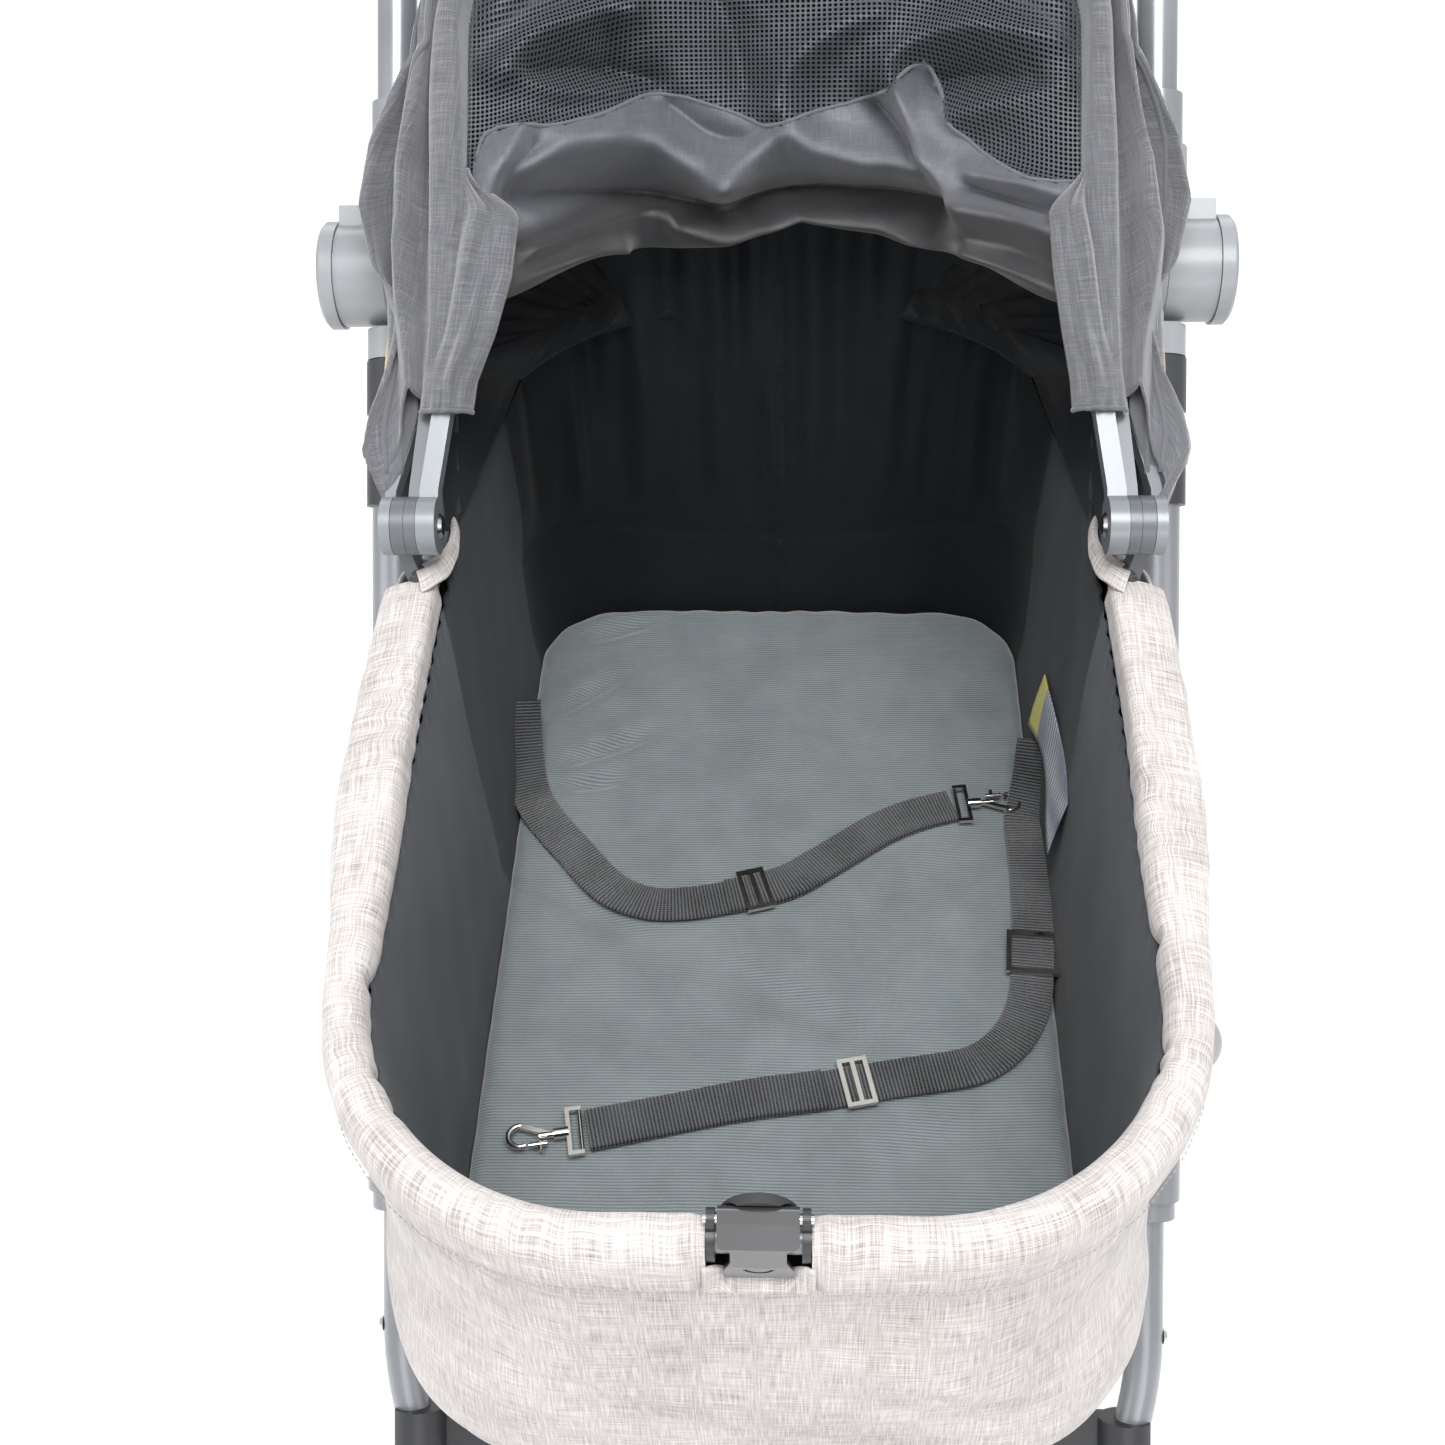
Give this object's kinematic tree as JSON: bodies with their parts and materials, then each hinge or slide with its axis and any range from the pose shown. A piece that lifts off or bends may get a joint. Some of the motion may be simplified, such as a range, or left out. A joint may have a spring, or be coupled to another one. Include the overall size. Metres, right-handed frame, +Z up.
{
  "type": "pet stroller",
  "caption": "Folding pet stroller with a deep fabric cabin, hinged hood bows, tether leashes, swivel front wheels, braked rear wheels and an under-basket.",
  "frame": {"origin": "centre of the footprint on the ground, under the middle of the stroller", "axes": "+X to the right as seen from the front, +Y from the front of the cabin towards the handle, +Z up"},
  "size_m": [0.536, 0.8511, 1.0146],
  "materials": {
    "frame_paint": "satin",
    "hub_plastic": "satin",
    "joint_plastic": "satin",
    "hinge_plastic": "satin",
    "pin_steel": "polished",
    "nickel": "polished",
    "clip_metal": "satin",
    "linen": "heather weave",
    "lining": "plain weave",
    "pad_fabric": "fine rib",
    "hood_fabric": "linen look",
    "webbing": "ribbed webbing",
    "basket_fabric": "plain weave",
    "board_plastic": "rough",
    "grip_foam": "foam",
    "tyre": "matte",
    "rim_plastic": "satin"
  },
  "bodies": {
    "chassis": {"front_leg_tube": "frame_paint", "lower_sleeves": "frame_paint", "fold_bases": "joint_plastic", "frame_pins": "pin_steel", "leg_brackets": "joint_plastic", "rim_mounts": "joint_plastic", "rim_tube": "frame_paint", "rim_hem": "linen", "tub_shell": "linen", "tub_lining": "lining", "floor_board": "board_plastic", "pad": "pad_fabric", "floor_crossbar": "frame_paint", "front_brace": "joint_plastic", "caster_housings": "joint_plastic", "canopy_bases": "hinge_plastic", "latch_base": "joint_plastic", "latch_spring": "pin_steel", "hood_back": "hood_fabric", "basket": "basket_fabric", "basket_straps": "webbing", "leash_left_strap": "webbing", "leash_left_fittings": "nickel", "leash_right_strap": "webbing", "leash_right_fittings": "nickel"},
    "handle": {"fold_arms": "joint_plastic", "hub_caps": "hub_plastic", "upper_sleeves": "frame_paint", "handle_tube": "frame_paint", "handle_grip": "grip_foam"},
    "rear_frame": {"rear_legs": "frame_paint", "axle_brackets": "joint_plastic", "rear_crossbar": "frame_paint", "rear_axle": "pin_steel"},
    "brake": {"brake_pedal": "hub_plastic"},
    "rear_wheel_left": {"rear_tyre_left": "tyre", "rear_rim_left": "rim_plastic"},
    "rear_wheel_right": {"rear_tyre_right": "tyre", "rear_rim_right": "rim_plastic"},
    "caster_left": {"fork_left": "joint_plastic"},
    "caster_right": {"fork_right": "joint_plastic"},
    "front_wheel_left": {"front_tyre_left": "tyre", "front_rim_left": "rim_plastic"},
    "front_wheel_right": {"front_tyre_right": "tyre", "front_rim_right": "rim_plastic"},
    "bow_rear": {"rear_bow": "frame_paint", "rear_bow_arms": "hinge_plastic", "hood_rear": "hood_fabric"},
    "bow_mid": {"mid_bow": "frame_paint", "mid_bow_arms": "hinge_plastic", "hood_mid": "hood_fabric"},
    "bow_front": {"front_bow": "frame_paint", "front_bow_arms": "hinge_plastic", "hood_front": "hood_fabric"},
    "latch": {"latch_clip": "clip_metal"},
    "cabin_lock": {"lock_knob": "hinge_plastic"},
    "hook_left": {"left_hook": "nickel"},
    "hook_right": {"right_hook": "nickel"},
    "thumb_left": {"left_trigger": "nickel"},
    "thumb_right": {"right_trigger": "nickel"}
  },
  "joints": [
    {"name": "handle_fold", "type": "hinge", "parent": "chassis", "child": "handle", "pos_m": [0, 0.18, 0.769], "axis": [1, 0, 0], "range_deg": [0, 110]},
    {"name": "rear_fold", "type": "hinge", "parent": "chassis", "child": "rear_frame", "pos_m": [0, 0.15737, 0.70395], "axis": [-1, 0, 0], "range_deg": [0, 55]},
    {"name": "rear_spin_left", "type": "hinge", "parent": "rear_frame", "child": "rear_wheel_left", "pos_m": [0, 0.307, 0.1075], "axis": [1, 0, 0], "continuous": true},
    {"name": "rear_spin_right", "type": "hinge", "parent": "rear_frame", "child": "rear_wheel_right", "pos_m": [0, 0.307, 0.1075], "axis": [1, 0, 0], "continuous": true},
    {"name": "brake_press", "type": "hinge", "parent": "rear_frame", "child": "brake", "pos_m": [0, 0.3218, 0.1563], "axis": [1, 0, 0], "range_deg": [-18, 0]},
    {"name": "swivel_left", "type": "hinge", "parent": "chassis", "child": "caster_left", "pos_m": [-0.13, -0.378, 0], "axis": [0, 0, 1], "continuous": true},
    {"name": "swivel_right", "type": "hinge", "parent": "chassis", "child": "caster_right", "pos_m": [0.13, -0.378, 0], "axis": [0, 0, 1], "continuous": true},
    {"name": "front_spin_left", "type": "hinge", "parent": "caster_left", "child": "front_wheel_left", "pos_m": [-0.13, -0.343, 0.0825], "axis": [1, 0, 0], "continuous": true},
    {"name": "front_spin_right", "type": "hinge", "parent": "caster_right", "child": "front_wheel_right", "pos_m": [0.13, -0.343, 0.0825], "axis": [1, 0, 0], "continuous": true},
    {"name": "hood_front_bow", "type": "hinge", "parent": "bow_mid", "child": "bow_front", "pos_m": [0, 0.019, 0.722], "axis": [-1, 0, 0], "range_deg": [-47, 0]},
    {"name": "hood_mid_bow", "type": "hinge", "parent": "bow_rear", "child": "bow_mid", "pos_m": [0, 0.019, 0.722], "axis": [-1, 0, 0], "range_deg": [-40, 0]},
    {"name": "hood_rear_bow", "type": "hinge", "parent": "chassis", "child": "bow_rear", "pos_m": [0, 0.019, 0.722], "axis": [-1, 0, 0], "range_deg": [-56.5, 0]},
    {"name": "latch_flip", "type": "hinge", "parent": "chassis", "child": "latch", "pos_m": [0, -0.348, 0.6803], "axis": [-1, 0, 0], "range_deg": [0, 60], "stiffness_Nm_per_rad": 0.02, "springref_deg": -34.38},
    {"name": "cabin_lock_turn", "type": "hinge", "parent": "chassis", "child": "cabin_lock", "pos_m": [0.21, -0.12052, 0.46848], "axis": [1, 0, 0], "range_deg": [0, 90]},
    {"name": "hook_left_lift", "type": "hinge", "parent": "chassis", "child": "hook_left", "pos_m": [0.1155, 0.0664, 0.4539], "axis": [0.1045, -0.9945, 0], "range_deg": [0, 100]},
    {"name": "hook_right_lift", "type": "hinge", "parent": "chassis", "child": "hook_right", "pos_m": [-0.1034, -0.1726, 0.4539], "axis": [-0.1736, 0.9848, 0], "range_deg": [0, 100]},
    {"name": "thumb_left_slide", "type": "slide", "parent": "hook_left", "child": "thumb_left", "axis": [-0.9945, -0.1045, 0], "range_m": [0, 0.004], "stiffness_N_per_m": 60, "springref_m": -0.003},
    {"name": "thumb_right_slide", "type": "slide", "parent": "hook_right", "child": "thumb_right", "axis": [0.9848, 0.1736, 0], "range_m": [0, 0.004], "stiffness_N_per_m": 60, "springref_m": -0.003}
  ],
  "couplings": [
    {"joint": "rear_fold", "follows": "handle_fold", "ratio": 0.5},
    {"joint": "hood_mid_bow", "follows": "hood_front_bow", "ratio": 0.85},
    {"joint": "hood_rear_bow", "follows": "hood_front_bow", "ratio": 1.2}
  ]
}
